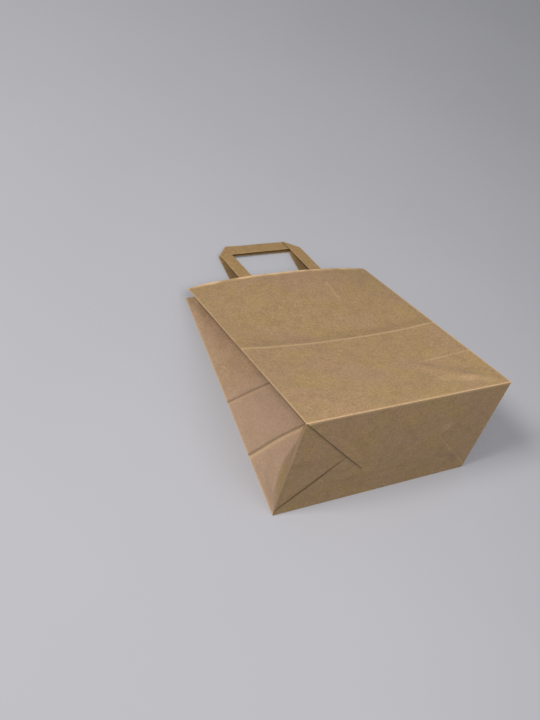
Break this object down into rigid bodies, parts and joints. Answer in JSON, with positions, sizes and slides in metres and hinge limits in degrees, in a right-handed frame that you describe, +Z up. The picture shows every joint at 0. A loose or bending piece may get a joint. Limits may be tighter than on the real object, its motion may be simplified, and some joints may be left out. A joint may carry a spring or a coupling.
{
  "type": "paper carrier bag",
  "caption": "Plain kraft paper carrier with folded gussets, a block bottom and flat tape handles, lying on its back panel with its base open.",
  "frame": {"origin": "middle of the footprint, at floor level, under the bag as it lies on its back panel", "axes": "+X across the bag, +Y from the base to the mouth and handles, +Z up out of the back panel"},
  "size_m": [0.3056, 0.4314, 0.166],
  "materials": {
    "kraft_sheet": "matt",
    "kraft_tape": "matt",
    "kraft_patch": "matt"
  },
  "bodies": {
    "root": {"bag_body": "kraft_sheet", "handle_front": "kraft_tape", "handle_back": "kraft_tape", "patch_front": "kraft_patch", "patch_back": "kraft_patch"}
  },
  "joints": []
}
